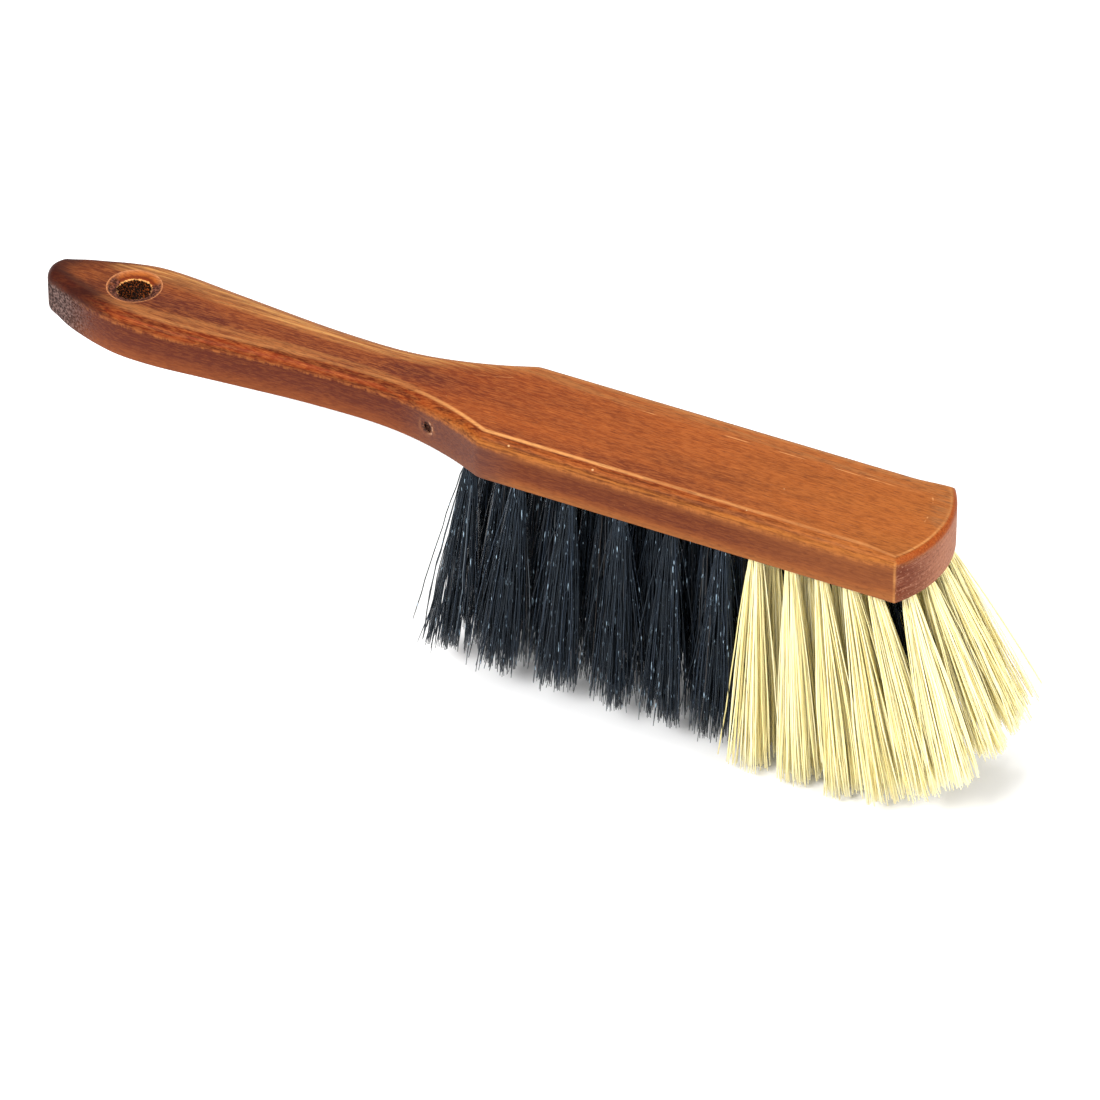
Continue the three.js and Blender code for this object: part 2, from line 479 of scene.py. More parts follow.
def board_outline():
    """Points round the board in plan, and how far each moves for one metre of inward offset."""
    sections = board_sections()
    starts = [directions(s)[0] for s in sections]
    ends = [directions(s)[-1] for s in sections]
    fillets = [SHOULDER_FILLET, NOSE_FILLET, NOSE_FILLET, SHOULDER_FILLET]  # at each section's end
    miters = []
    trims = []
    for i in range(4):
        arriving, leaving = ends[i], starts[(i + 1) % 4]
        inward = turned_left(np.array([arriving, leaving]))
        miters.append(inward.sum(axis=0) / (1 + inward[0] @ inward[1]))
        turn = math.acos(np.clip(arriving @ leaving, -1, 1))
        trims.append(fillets[i] * math.tan(turn / 2))
    outline = []
    moves = []
    for i, section in enumerate(sections):
        along = lengths_along(section)
        first, last = trims[i - 1], along[-1] - trims[i]
        at = np.linspace(first, last, round((last - first) / OUTLINE_STEP) + 1)
        forward = directions(section)
        points = np.column_stack([np.interp(at, along, section[:, k]) for k in (0, 1)])
        tangents = np.column_stack([np.interp(at, along, forward[:, k]) for k in (0, 1)])
        tangents /= norm(tangents, axis=1)[:, None]
        share = (at / along[-1])[:, None]
        slide = (1 - share) * (miters[i - 1] @ starts[i]) + share * (miters[i] @ ends[i])
        outline.append(points)
        moves.append(turned_left(tangents) + tangents * slide)
        corner = section[-1]
        centre = corner + miters[i] * fillets[i]
        one, other = turned_left(np.array([ends[i], starts[(i + 1) % 4]]))
        for step in range(1, FILLET_SEGMENTS):
            blend = one + (other - one) * step / FILLET_SEGMENTS
            outline.append([centre - blend / norm(blend) * fillets[i]])
            moves.append([miters[i]])
    return np.vstack(outline), np.vstack(moves)


def smooth_step(values, start, end):
    share = np.clip((values - start) / (end - start), 0, 1)
    return share * share * (3 - 2 * share)


def crown(from_tip):
    """Along the handle: the width of the zone that falls to the edge, the fall at the edge, and how far the
    rounding has already turned there. The two slopes agree where they meet."""
    share = smooth_step(from_tip, *CROWN_START) * (1 - smooth_step(from_tip, *CROWN_END))
    width = CROWN_WIDTH * share
    angle = CROWN_ANGLE * share
    slope = np.tan(angle) * (1 - np.sin(angle)) / np.cos(angle)
    fall = slope * width / 2 / (1 + slope * width / 2 / EDGE_RADIUS)
    return width, fall, angle


def inset_from(outline, plan):
    """The distance of plan points from the outline."""
    ends = np.roll(outline, -1, axis=0)
    along = ends - outline
    lengths = (along**2).sum(axis=1)
    nearest = np.full(len(plan), np.inf)
    for start, step, length in zip(outline, along, lengths):
        share = np.clip((plan - start) @ step / length, 0, 1)
        nearest = np.minimum(nearest, norm(plan - start - share[:, None] * step, axis=1))
    return nearest


def crown_drop(points, outline):
    """How far the flat top's points go down where the handle is crowned."""
    inset = inset_from(outline, points[:, :2]) - EDGE_RADIUS
    width, fall, _ = crown(points[:, 0] - TIP_X)
    share = np.clip(1 - inset / np.maximum(width, TINY), 0, 1)
    on_top = (points[:, 2] > TOP - MILLIMETRE / 1e3) & (inset > TINY)
    return fall * share**2 * on_top


def upper_radius(x):
    """The radius of the upper edge's rounding."""
    corner_x = board_sections()[1][-1][0]
    return EDGE_RADIUS + (NOSE_RADIUS - EDGE_RADIUS) * smooth_step(x, corner_x - NOSE_BLEND, corner_x)


def lower_radius(x):
    return TIP_LOWER_RADIUS + (LOWER_RADIUS - TIP_LOWER_RADIUS) * smooth_step(x - TIP_X, 0, TIP_LOWER_END)


def board_rows(outline):
    """From the top face to the underside: each row's inward offset and height at each outline point."""
    level = np.ones(len(outline))
    radius = upper_radius(outline[:, 0])
    lower = lower_radius(outline[:, 0])
    _, fall, angle = crown(outline[:, 0] - TIP_X)
    rows = [(radius + SUPPORT, level * TOP)]
    for share in np.linspace(0, 1, EDGE_SEGMENTS + 1):
        turn = angle + (math.pi / 2 - angle) * share
        offset = radius * (1 - np.sin(turn)) / (1 - np.sin(angle))
        drop = fall + (radius - fall) * (np.cos(angle) - np.cos(turn)) / np.cos(angle)
        rows.append((offset, TOP - drop))
    for share in np.linspace(0, 1, SIDE_SEGMENTS + 1)[1:]:
        rows.append((level * 0, (1 - share) * (TOP - radius) + share * (UNDERSIDE + lower)))
    for turn in np.linspace(0, math.pi / 2, LOWER_EDGE_SEGMENTS + 1)[1:]:
        rows.append((lower * (1 - math.cos(turn)), UNDERSIDE + lower * (1 - math.sin(turn))))
    rows.append((lower + SUPPORT, level * UNDERSIDE))
    return rows


def turns_round(sides):
    return np.arange(sides) * 2 * math.pi / sides


def circle(centre, radius, z, sides):
    turns = turns_round(sides)
    radius = np.broadcast_to(radius, sides)
    return np.column_stack([
        centre[0] + radius * np.cos(turns),
        centre[1] + radius * np.sin(turns),
        np.broadcast_to(z, sides),
    ])


def add_hanging_hole(shell):
    """Both dished mouths and the rough bore between them. Returns the rings that the flat faces end at."""
    centre, bore, rim, depth = hanging_hole()
    rng = np.random.default_rng(5)
    dish = [(rim + SUPPORT, 0.0, 0.0)]
    for share in np.linspace(0, 1, DISH_SEGMENTS + 1):
        down = depth * share * (RIM_SLOPE + (1 - RIM_SLOPE) * share)
        dish.append((rim + (bore - rim) * share, down, CREASE_ROUGHNESS * max(0, share - 0.5) * 2))
    thickness = TOP - UNDERSIDE
    levels = [depth + (thickness - 2 * depth) * i / BORE_SEGMENTS for i in range(1, BORE_SEGMENTS)]
    rows = [*dish, *[(bore, down, BORE_ROUGHNESS) for down in levels]]
    rows += [(radius, thickness - down, rough) for radius, down, rough in reversed(dish)]
    rings = []
    for radius, down, rough in rows:
        ragged = radius + rng.normal(0, 1, HOLE_SIDES) * rough
        rings.append(shell.ring(circle(centre, ragged, TOP - down, HOLE_SIDES)))
    shell.skin(rings)
    return rings[0], rings[-1]


def across(direction):
    """Two directions square to a tuft's: the one its halves part along, towards +X, and the anchor's."""
    fold = np.array([1.0, 0, 0]) - direction[0] * direction
    fold /= norm(fold)
    return fold, np.cross(direction, fold)


def add_tuft_hole(shell, node):
    """A blind drilled hole along a tuft. Returns its ring in the underside."""
    mouth, direction, _, radius = tuft_axis(node)
    radius += TUFT_GAP
    fold, anchor = across(direction)
    turns = turns_round(TUFT_HOLE_SIDES)
    spokes = np.outer(np.cos(turns), fold) + np.outer(np.sin(turns), anchor)
    rings = []
    for wider, height in ((MOUTH_BREAK, 0.0), (0.0, MOUTH_BREAK)):
        points = mouth + spokes * (radius + wider)
        slide = (UNDERSIDE + height - points[:, 2]) / direction[2]
        rings.append(shell.ring(points + np.outer(slide, direction)))
    rings.append(shell.ring(mouth + spokes * radius - direction * TUFT_HOLE_DEPTH))
    shell.skin(rings)
    shell.close(rings[2], mouth - direction * (TUFT_HOLE_DEPTH + DRILL_POINT))
    return rings[0]


def knot_centre():
    outline, _ = board_outline()
    right = outline[(outline[:, 1] < 0) & (outline[:, 0] < TIP_X + 0.15)]
    x = TIP_X + KNOT_FROM_TIP
    return Vector((x, np.interp(x, right[:, 0], right[:, 1]), UNDERSIDE + KNOT_HEIGHT))


def cut_knot(board):
    """Small ragged pits where a knot has fallen out of the handle's right side."""
    rng = np.random.default_rng(11)
    work = bmesh.new()
    for along, up, radius in KNOT_PITS:
        middle = knot_centre() + Vector((along, 0, up))
        place = Matrix.Translation(middle)
        ball = bmesh.ops.create_icosphere(work, subdivisions=2, radius=radius, matrix=place)
        for vert in ball["verts"]:
            vert.co = middle + (vert.co - middle) * rng.uniform(0.7, 1.3)
    mesh = bpy.data.meshes.new("knot_cutter")
    work.to_mesh(mesh)
    work.free()
    cutter = add_object("knot_cutter", mesh)
    cut = board.modifiers.new("knot", "BOOLEAN")
    cut.operation = "DIFFERENCE"
    cut.solver = "EXACT"
    cut.use_self = True
    cut.object = cutter
    apply_modifiers(board)
    bpy.data.objects.remove(cutter)
    bpy.data.meshes.remove(mesh)


def apply_modifiers(piece):
    depsgraph = bpy.context.evaluated_depsgraph_get()
    done = bpy.data.meshes.new_from_object(piece.evaluated_get(depsgraph))
    old = piece.data
    name = old.name
    piece.modifiers.clear()
    piece.data = done
    bpy.data.meshes.remove(old)
    done.name = name


def make_board(material, tuft_nodes):
    shell = Shell()
    outline, moves = board_outline()
    rings = []
    for offset, z in board_rows(outline):
        plan = outline + moves * offset[:, None]
        rings.append(shell.ring(np.column_stack([plan, z])))
    shell.skin(rings)
    upper_hole, lower_hole = add_hanging_hole(shell)
    tuft_holes = [add_tuft_hole(shell, node) for node in tuft_nodes]
    fill_flat(shell, rings[0], [upper_hole], TOP, TOP_GRID)
    fill_flat(shell, rings[-1], [lower_hole, *tuft_holes], UNDERSIDE, UNDERSIDE_GRID)
    points = np.array(shell.points)
    points[:, 2] -= crown_drop(points, outline)
    board = new_piece("wooden_board", points.tolist(), shell.faces, material, smooth_angle=SHARP_ANGLE)
    cut_knot(board)
    facing_out(board.data)
    board.data.set_sharp_from_angle(angle=SHARP_ANGLE)
    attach(board, BODY)
    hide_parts(BOARD_NODE)
    return board


def mark_board(board):
    """Gives the board's points what the stain goes by: the place on the profile and the distance from the
    nose's corners, both in millimetres, and how deep in the hanging hole they are."""
    points = mesh_points(board.data)
    outline, _ = board_outline()
    inset = inset_from(outline, points[:, :2])
    below = TOP - points[:, 2]
    radius = upper_radius(points[:, 0])
    _, fall, _ = crown(points[:, 0] - TIP_X)
    turn = np.arctan2(radius - inset, np.maximum(radius - below + fall, 0))
    profile = -EDGE_RADIUS * turn
    on_side = below > radius
    profile[on_side] = -EDGE_RADIUS * math.pi / 2 - (below - radius)[on_side]
    flat = inset > radius
    profile[flat] = (inset - radius)[flat]
    add_attribute(board, "profile", profile / MILLIMETRE)
    corner_x, corner_y = board_sections()[1][-1]
    from_corner = np.hypot(points[:, 0] - corner_x, np.abs(points[:, 1]) - abs(corner_y))
    add_attribute(board, "corner", from_corner / MILLIMETRE)
    centre, _, rim, dish_depth = hanging_hole()
    away = norm(points[:, :2] - centre, axis=1)
    depth = np.minimum(below, points[:, 2] - UNDERSIDE)
    hollow = np.clip(depth / dish_depth, 0, 1)
    hollow[depth > dish_depth + MILLIMETRE / 10] = 2
    hollow[away > rim + TINY] = 0
    add_attribute(board, "hollow", hollow)


# ---------------- bristles and anchors

def packed_roots(kind, radius, rng):
    """Where a tuft's folded bristles stand in its hole: half the gap between a bristle's legs, and its place
    along the anchor."""
    reach = radius - kind["radius"]
    count = kind["folded"]
    pitch = math.sqrt(math.pi * reach**2 / 2 / count) * 1.02
    places = []
    while len(places) < count:
        pitch *= 0.98
        row = pitch * math.sqrt(3) / 2
        places = []
        for k in range(int(reach / row) + 1):
            half = FOLD_GAP + row * (k + 0.5)
            shift = pitch / 2 * (k % 2)
            for q in np.arange(-reach, reach, pitch) + shift:
                if math.hypot(half, q) < reach:
                    places.append((half, q))
    places = np.array(places)
    chosen = rng.permutation(len(places))[:count]
    return places[chosen] + rng.normal(0, pitch * 0.06, (count, 2))


def bristle_ends(kind, roots, radius, rng):
    """How far each bristle's tip stands off the tuft's axis."""
    count = len(roots)
    spread = kind["tip_spread"]
    tips = roots / radius * spread * rng.uniform(*FAN_RANGE, (count, 1))
    tips += rng.normal(0, kind["scatter"] * spread, (count, 2))
    middles = rng.normal(0, CLUMP_SPREAD * spread, (kind["clumps"], 2))
    nearest = norm(tips[:, None] - middles[None], axis=2).argmin(axis=1)
    pull = rng.uniform(0, 2 * kind["clumping"], (count, 1)).clip(0, 0.9)
    tips += (middles[nearest] - tips) * pull
    stray = rng.random(count) < kind["stray_share"]
    tips[stray] += rng.normal(0, STRAY_SPREAD * spread, (stray.sum(), 2))
    reach = norm(tips, axis=1, keepdims=True)
    return tips * np.minimum(1, MOST_SPREAD * spread / reach)


def free_lengths(kind, length, tips, rng):
    count = len(tips)
    dome = 1 - DOME * (norm(tips, axis=1) / kind["tip_spread"]) ** 2
    lengths = length * dome - np.abs(rng.normal(0, kind["uneven"], count))
    short = rng.random(count) < kind["short_share"]
    lengths[short] -= rng.uniform(*SHORTEST, short.sum())
    return lengths


def free_ends(kind, roots, mouth, direction, fold, anchor, length, radius, rng):
    """Paths of the bristles from the hole's mouth to their tips: (bristle, point, xyz)."""
    count = len(roots)
    tips = bristle_ends(kind, roots, radius, rng)
    lengths = free_lengths(kind, length, tips, rng)
    bows = rng.normal(0, kind["bow"], (count, 2))
    twists = rng.normal(0, kind["bow"] * TWIST, (count, 2))
    plane = np.array([fold, anchor])
    end = mouth + np.outer(lengths, direction) + tips @ plane
    too_low = end[:, 2] < FLOOR_CLEARANCE
    fall = mouth[2] - end[:, 2]
    lengths[too_low] *= ((mouth[2] - FLOOR_CLEARANCE) / fall)[too_low]
    t = np.linspace(0, 1, kind["segments"] + 1)[None, :, None]
    aside = roots[:, None] + (tips - roots)[:, None] * t**FAN_POWER
    aside = aside + bows[:, None] * np.sin(math.pi * t) * t
    aside = aside + twists[:, None] * np.sin(TWIST_WAVE * math.pi * t) * t
    aside[:, 1:] += rng.normal(0, kind["crimp"], (count, kind["segments"], 2))
    return mouth + lengths[:, None, None] * t * direction + aside @ plane


def bristle_paths(kind, mouth, direction, length, radius, rng):
    """Whole bristles, tip to tip: down one side of the hole, round the anchor and out of the other side."""
    fold, anchor = across(direction)
    roots = packed_roots(kind, radius, rng)
    mirrored = roots * [-1, 1]
    one = free_ends(kind, roots, mouth, direction, fold, anchor, length, radius, rng)
    other = free_ends(kind, mirrored, mouth, direction, fold, anchor, length, radius, rng)
    turns = np.linspace(0, math.pi, FOLD_POINTS)[None, :, None]
    half = roots[:, :1, None]
    bends = (
        mouth
        - direction * (ANCHOR_DEPTH + half * np.sin(turns))
        + fold * half * np.cos(turns)
        + anchor * roots[:, 1:, None]
    )
    return np.concatenate([one[:, ::-1], bends, other], axis=1), anchor


def tube_points(paths, anchor, radii, sides):
    """Rings of points round each path: (bristle, point, side, xyz)."""
    ahead = np.gradient(paths, axis=1)
    ahead /= norm(ahead, axis=2)[:, :, None]
    one = anchor - (ahead @ anchor)[:, :, None] * ahead
    one /= norm(one, axis=2)[:, :, None]
    other = np.cross(ahead, one)
    turns = turns_round(sides)
    spokes = one[:, :, None] * np.cos(turns)[:, None] + other[:, :, None] * np.sin(turns)[:, None]
    return paths[:, :, None] + spokes * radii[:, :, None, None]


def tube_faces(bristles, rings, sides):
    """Quads along every tube and a face over each of its ends."""
    base = np.arange(bristles)[:, None, None] * rings * sides
    level = np.arange(rings - 1)[None, :, None] * sides
    side = np.arange(sides)[None, None]
    after = (side + 1) % sides
    quads = np.stack([
        base + level + side,
        base + level + after,
        base + level + sides + after,
        base + level + sides + side,
    ], axis=-1).reshape(-1, 4)
    starts = np.arange(bristles) * rings * sides
    first = starts[:, None] + np.arange(sides)[::-1]
    last = starts[:, None] + (rings - 1) * sides + np.arange(sides)
    return quads.tolist() + first.tolist() + last.tolist()


def make_tuft(node, kind, material, seed):
    rng = np.random.default_rng(seed)
    mouth, direction, length, radius = tuft_axis(node)
    paths, anchor = bristle_paths(kind, mouth, direction, length, radius, rng)
    bristles, rings = paths.shape[:2]
    thickness = rng.normal(1, 0.08, (bristles, 1)).clip(0.8, 1.2)
    radii = np.full((bristles, rings), kind["radius"]) * thickness
    radii[:, [0, -1]] *= kind["taper"]
    points = tube_points(paths, anchor, radii, BRISTLE_SIDES)
    faces = tube_faces(bristles, rings, BRISTLE_SIDES)
    piece = new_piece(node.replace("tuft", "bristles"), points.reshape(-1, 3).tolist(), faces, material)
    reach = np.concatenate([
        np.linspace(1, 0, kind["segments"] + 1),
        np.zeros(FOLD_POINTS),
        np.linspace(0, 1, kind["segments"] + 1),
    ])
    shape = (bristles, rings, BRISTLE_SIDES)
    add_attribute(piece, "tone", np.broadcast_to(rng.random((bristles, 1, 1)), shape))
    add_attribute(piece, "reach", np.broadcast_to(reach[None, :, None], shape))
    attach(piece, BODY)
    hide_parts(node)
    return piece


def make_anchor(node, material):
    """The flat wire staple that a tuft is folded over, its ends driven into the wood."""
    mouth, direction, _, _ = tuft_axis(node)
    fold, anchor = across(direction)
    shell = Shell()
    rings = []
    outline = []
    for turn in turns_round(ANCHOR_SIDES):
        flat = math.copysign(abs(math.cos(turn)) ** 0.5, math.cos(turn)) * ANCHOR_WIDTH / 2
        thick = math.copysign(abs(math.sin(turn)) ** 0.5, math.sin(turn)) * ANCHOR_THICKNESS / 2
        outline.append((flat, thick))
    for along, up in ANCHOR_SHAPE:
        centre = mouth - direction * (ANCHOR_DEPTH - up) + anchor * along
        rings.append(shell.ring([centre + direction * flat + fold * thick for flat, thick in outline]))
    shell.skin(rings)
    shell.faces.append(tuple(reversed(rings[0])))
    shell.faces.append(tuple(rings[-1]))
    name = node.replace("tuft", "anchor")
    piece = new_piece(name, shell.points, shell.faces, material, smooth_angle=math.radians(50))
    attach(piece, BODY)
    return piece


# ---------------- materials

class Value:
    """A number or colour that a material works out at each point. Numbers take part in plain arithmetic."""

    def __init__(self, tree, socket):
        self.tree = tree
        self.socket = socket

    def __add__(self, other):
        return self.tree.math("ADD", self, other)

    def __sub__(self, other):
        return self.tree.math("SUBTRACT", self, other)

    def __mul__(self, other):
        return self.tree.math("MULTIPLY", self, other)

    def __truediv__(self, other):
        return self.tree.math("DIVIDE", self, other)

    def __abs__(self):
        return self.tree.math("ABSOLUTE", self)

    def fade(self, start, end, high=1.0, low=0.0):
        """Goes smoothly from low at start to high at end, and holds outside."""
        inputs = dict(enumerate((self, start, end, low, high)))
        return self.tree.node("MapRange", 0, inputs, interpolation_type="SMOOTHSTEP")

    def near(self, middle, outer, inner):
        """1 within inner of the middle, and 0 from outer on."""
        return abs(self - middle).fade(outer, inner)


class Tree:
    """A new material's nodes, added and joined one step at a time."""

    def __init__(self, name):
        self.material = bpy.data.materials.new(name)
        self.material.use_nodes = True
        self.nodes = self.material.node_tree.nodes
        self.links = self.material.node_tree.links
        self.shader = self.nodes["Principled BSDF"]

    def put(self, socket, value):
        """Joins a worked out value to a socket, or sets a fixed one. A fixed colour has no alpha."""
        if isinstance(value, Value):
            self.links.new(value.socket, socket)
        elif socket.type == "RGBA":
            socket.default_value = (*value, 1)
        else:
            socket.default_value = value

    def shade(self, **values):
        for name, value in values.items():
            self.put(self.shader.inputs[name.replace("_", " ")], value)

    def node(self, kind, output, inputs, **settings):
        """Adds a node with its settings and its inputs, and returns one of its outputs."""
        node = self.nodes.new("ShaderNode" + kind)
        for name, setting in settings.items():
            setattr(node, name, setting)
        for name, value in inputs.items():
            self.put(node.inputs[name], value)
        return Value(self, node.outputs[output])

    def position(self, scale, offset=(0, 0, 0)):
        """Object coordinates, stretched."""
        here = self.node("TexCoord", "Object", {})
        return self.node("Mapping", "Vector", {"Vector": here, "Scale": scale, "Location": offset})

    def parts(self, vector):
        return [self.node("SeparateXYZ", axis, {0: vector}) for axis in "XYZ"]

    def noise(self, scale, offset=(0, 0, 0), detail=2.0, roughness=0.5):
        """Noise over the object coordinates, with about scale blobs to a metre along each axis."""
        inputs = {"Vector": self.position(scale, offset), "Scale": 1.0}
        inputs.update(Detail=detail, Roughness=roughness)
        return self.node("TexNoise", "Fac", inputs)

    def cells(self, scale, offset, output="Distance"):
        """Scattered points: the distance to the nearest one, or the random colour that belongs to it."""
        return self.node("TexVoronoi", output, {"Vector": self.position(scale, offset), "Scale": 1.0})

    def math(self, operation, *numbers):
        return self.node("Math", 0, dict(enumerate(numbers)), operation=operation)

    def larger(self, one, other):
        return self.math("MAXIMUM", one, other)

    def mix(self, share, one, other, blend="MIX"):
        inputs = {"Factor": share, 6: one, 7: other}
        return self.node("Mix", 2, inputs, data_type="RGBA", blend_type=blend)

    def ramp(self, value, stops):
        colours = self.node("ValToRGB", "Color", {"Fac": value})
        elements = colours.socket.node.color_ramp.elements
        while len(elements) < len(stops):
            elements.new(0.5)
        for element, (place, colour) in zip(elements, stops):
            element.position = place
            element.color = (*colour, 1)
        return colours

    def curve(self, value, stops):
        """A number by straight lines between stops, each a place and a level of 0 to 1."""
        return self.ramp(value, [(place, (level, level, level)) for place, level in stops])

    def attribute(self, name):
        return self.node("Attribute", "Fac", {}, attribute_name=name)

    def bump(self, height, strength):
        inputs = {"Height": height, "Strength": strength, "Distance": BUMP_HEIGHT}
        return self.node("Bump", "Normal", inputs)


def stain(red, green, blue):
    """A colour given as 0 to 255 display values."""
    shares = [value / 255 for value in (red, green, blue)]
    return tuple(v / 12.92 if v <= 0.04045 else ((v + 0.055) / 1.055) ** 2.4 for v in shares)


class Beech(Tree):
    """Stained, lacquered beech, darker on the handle and lighter towards the nose. The stain is orange on
    the rounded edge, sanded thin along the arris and soaked up by the end grain. Painted highlights lie on
    the sanded arris and on the handle's crowned edges, and painted light makes the sides paler towards their
    foot and on the far rounding. Over it lie growth layers, fibres and short ray flecks.
    Each layer is painted over what is there, so their order matters."""

    def __init__(self, name):
        super().__init__(name)
        self.read_places()
        self.make_grain()
        self.make_masks()

    def read_places(self):
        self.here = self.position((1, 1, 1))
        self.x, self.y, self.z = self.parts(self.here)
        lean_x, lean_y, self.facing_z = self.parts(self.node("NewGeometry", "Normal", {}))
        self.facing_x = abs(lean_x)
        self.facing_y = abs(lean_y)
        self.from_tip = self.x - TIP_X
        self.along = self.from_tip / BOARD_LENGTH
        self.left = self.y.fade(-0.003, 0.003)
        self.profile = self.attribute("profile")
        self.hollow = self.attribute("hollow")

    def make_grain(self):
        """Growth layers round a pith below the board, warped along the grain, and noises at its scales."""
        pith_y = self.y - PITH_Y + self.noise((7, 30, 30), detail=3) * 0.012 - 0.006
        pith_z = self.z - PITH_Z + self.noise((9, 26, 26), (5, 3, 1), detail=3) * 0.009 - 0.0045
        radius = self.math("SQRT", pith_y * pith_y + pith_z * pith_z)
        self.late = self.math("FRACT", radius / LAYER_SPACING).fade(0.35, 0.97)
        self.blotch = self.noise((16, 60, 60), (2, 9, 4), detail=3, roughness=0.55)
        self.fibre = self.noise((200, 2000, 2000), detail=3, roughness=0.65)
        self.speckle = self.noise((330, 2400, 2400), (3, 6, 1), detail=2, roughness=0.6)
        self.lines = self.noise((30, 760, 760), (1, 5, 9), detail=2, roughness=0.6)
        self.fleck = self.noise((420, 3300, 2200), (1, 8, 2), detail=1).fade(0.60, 0.70)
        self.ragged = self.noise((520, 700, 160), (8, 1, 5), detail=4, roughness=0.7)
        self.jitter = self.ragged * 2.2 - 1.1
        self.calm = self.profile.fade(-5.0, -7.0, 0.40, 1.0)
        self.frayed = self.jitter * self.calm + self.profile
        self.pore = self.cells((900, 900, 900), (4, 0, 1))
        self.ends = self.noise((1300, 1300, 1300), (1, 2, 3), detail=3, roughness=0.6)

    def make_masks(self):
        self.on_handle = self.from_tip.fade(0.150, 0.118)
        self.in_round = self.profile.fade(-0.3, -1.0) * self.profile.fade(-6.0, -4.8)
        self.end_grain = self.facing_x.fade(0.42, 0.95) * self.frayed.fade(-3.8, -7.2)
        self.at_tip = self.from_tip.fade(0.024, 0.008) * self.frayed.fade(-4.6, -5.8)
        self.bore = self.hollow.fade(1.02, 1.22)

    def cover(self, share, colour):
        self.body = self.mix(share, self.body, colour)

    def paint(self, share, tone):
        self.cover(share, stain(*tone))

    def across_profile(self, stops):
        """Colours by the place on the board's profile, in millimetres."""
        span = PROFILE_HIGH - PROFILE_LOW
        tones = [((mm - PROFILE_LOW) / span, stain(*tone)) for mm, tone in stops]
        return self.ramp((self.frayed - PROFILE_LOW) / span, tones)

    def paint_top(self):
        self.body = self.ramp(self.along, TOP_TONES)
        stripe = self.y.near(-0.0016, 0.0058, 0.0018) * self.on_handle
        self.paint(stripe * self.from_tip.fade(0.016, 0.040, 0.88), (78, 26, 22))
        above = self.profile.near(2.6, 3.6, 0.8)
        above = above * (self.from_tip.fade(0.135, 0.155, 0.5) - self.left)
        self.paint(above * self.from_tip.fade(0.260, 0.200), (92, 32, 16))
        self.paint(self.blotch.fade(0.42, 0.68, 0.35), (160, 80, 30))
        self.paint(self.blotch.fade(0.44, 0.28, 0.40), (98, 36, 16))

    def paint_sanded_sheen(self):
        """The zone sanded thin along the handle's edges and the block's left edge, painted paler both for
        the sanded wood and as a painted highlight where the crowned edge catches the light.
        """
        far = self.from_tip.fade(0.010, 0.024, 1.3) + self.from_tip.fade(0.13, 0.17, 2.4)
        width = self.left * far + self.curve(self.from_tip, SANDED_SHEEN_WIDTHS) * 10.0
        over = self.jitter * 0.7 + self.profile - width
        sanded_and_sheen = over.fade(self.left * 2.0 + 0.8, self.left * -1.6 - 0.5)
        sanded_and_sheen = sanded_and_sheen * self.profile.fade(-0.4, 0.0) * width.fade(0.2, 1.6)
        strength = self.left * 0.16 + self.lines.fade(0.36, 0.62, 0.86, 0.10)
        gold = self.mix(self.left * self.on_handle, stain(144, 90, 52), stain(196, 142, 88))
        # Sanded pale wood and a painted highlight from the light on the crowned edge.
        self.cover(sanded_and_sheen * strength, gold)

    def paint_side(self):
        """The rounded edge and the side. The side is paler towards its foot, partly from painted light
        thrown up by the floor, and the far rounding is paler, partly from painted light.
        """
        side = self.mix(self.on_handle, self.across_profile(BLOCK_SIDE), self.across_profile(HANDLE_SIDE))
        self.body = self.mix(self.profile.fade(-0.75, -0.25), side, self.body)
        to_nose = self.from_tip.fade(0.215, 0.270)
        self.paint(self.in_round * to_nose * 0.62, (160, 96, 46))
        self.paint(self.profile.fade(-5.0, -7.0) * to_nose * 0.40, (146, 86, 50))
        dark = self.lines.fade(0.44, 0.60, 0.70) * (to_nose * -0.65 + 1.0)
        self.paint(self.in_round * dark, (66, 22, 8))
        # The far rounding is painted paler tan: partly its colour, partly painted light where it lies in
        # shade.
        far = self.profile.fade(-0.1, -0.5) * self.profile.fade(-5.0, -3.4) * self.left
        self.paint(far * self.from_tip.fade(0.014, 0.030, 0.72), (166, 110, 68))
        self.paint(self.blotch.fade(0.50, 0.30) * 0.25, (70, 28, 18))
        nose = self.in_round * (self.from_tip - BOARD_LENGTH).fade(-0.014, -0.002)
        self.paint(nose * self.facing_x.fade(0.25, 0.50) * 0.85, (148, 62, 18))

    def paint_arris(self):
        """The arris rubbed through along the top of the rounding, with a painted highlight on it and on the
        nose's corners, and a faint broken one at its foot.
        """
        wear_and_highlight = self.noise((38, 120, 120), (4, 4, 4), detail=4, roughness=0.7).fade(0.30, 0.62, 1.0, 0.30)
        strength = self.curve(self.along, ARRIS_STRENGTH) * (self.left * -0.75 + 1.0)
        arris = self.profile.near(-0.40, 0.90, 0.20) * wear_and_highlight * strength
        corner = self.attribute("corner").fade(0.9, 0.2) * self.profile.fade(-1.0, -3.0)
        # Rubbed pale wood with a painted highlight on it, along the arris and round the nose's corners.
        self.paint(self.larger(arris, corner * wear_and_highlight * 0.55), (214, 152, 96))
        foot = self.frayed.near(-5.7, 1.10, 0.10) * self.ragged.fade(0.40, 0.60)
        self.paint(foot * 0.50, (166, 100, 54))

    def paint_underside(self):
        below = self.facing_z.fade(-0.5, -0.9)
        self.cover(below, self.mix(self.blotch, stain(104, 46, 24), stain(150, 84, 42)))

